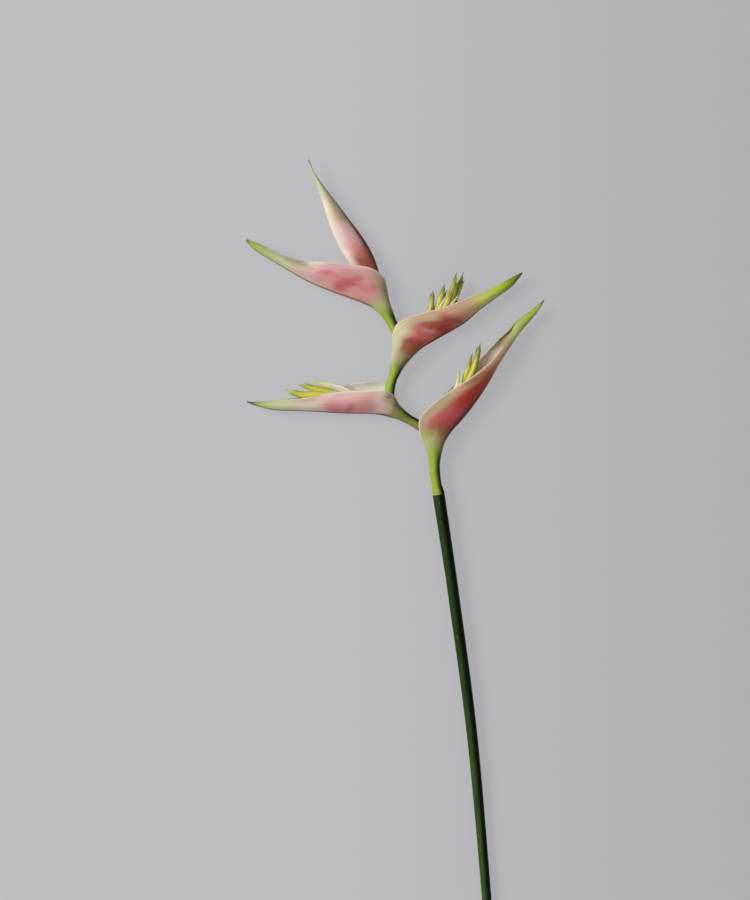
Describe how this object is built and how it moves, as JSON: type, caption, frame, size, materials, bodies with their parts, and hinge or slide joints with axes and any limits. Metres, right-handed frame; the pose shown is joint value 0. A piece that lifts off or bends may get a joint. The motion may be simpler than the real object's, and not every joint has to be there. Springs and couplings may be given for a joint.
{
  "type": "lobster claw heliconia",
  "caption": "Cut lobster claw heliconia lying on its side: dark green stem, lime green zigzag axis, folded pink bracts with green tips, and yellow florets.",
  "frame": {"origin": "on the surface that the flower lies on, under the middle of its bounding box", "axes": "+Y runs along the flower from the cut end of the stem to the head, +X to the right, seen from above with +Y up, and +Z up from the surface"},
  "size_m": [0.2092, 0.6349, 0.0208],
  "materials": {
    "stem": "dark green stem with a thin waxy gloss and fine lengthwise ribs",
    "axis": "lime green, satin, smooth",
    "bract": "satin bract, cream at the rim, pink to red on the cheeks and lime green at the tip, with fine lengthwise veins",
    "floret": "satin yellow, green towards the tip"
  },
  "bodies": {
    "root": {"stem": "stem", "rachis": "axis", "bract_1": "bract", "bract_2": "bract", "bract_3": "bract", "bract_4": "bract", "bract_5": "bract", "florets_1": "floret", "florets_2": "floret", "florets_3": "floret"}
  },
  "joints": []
}
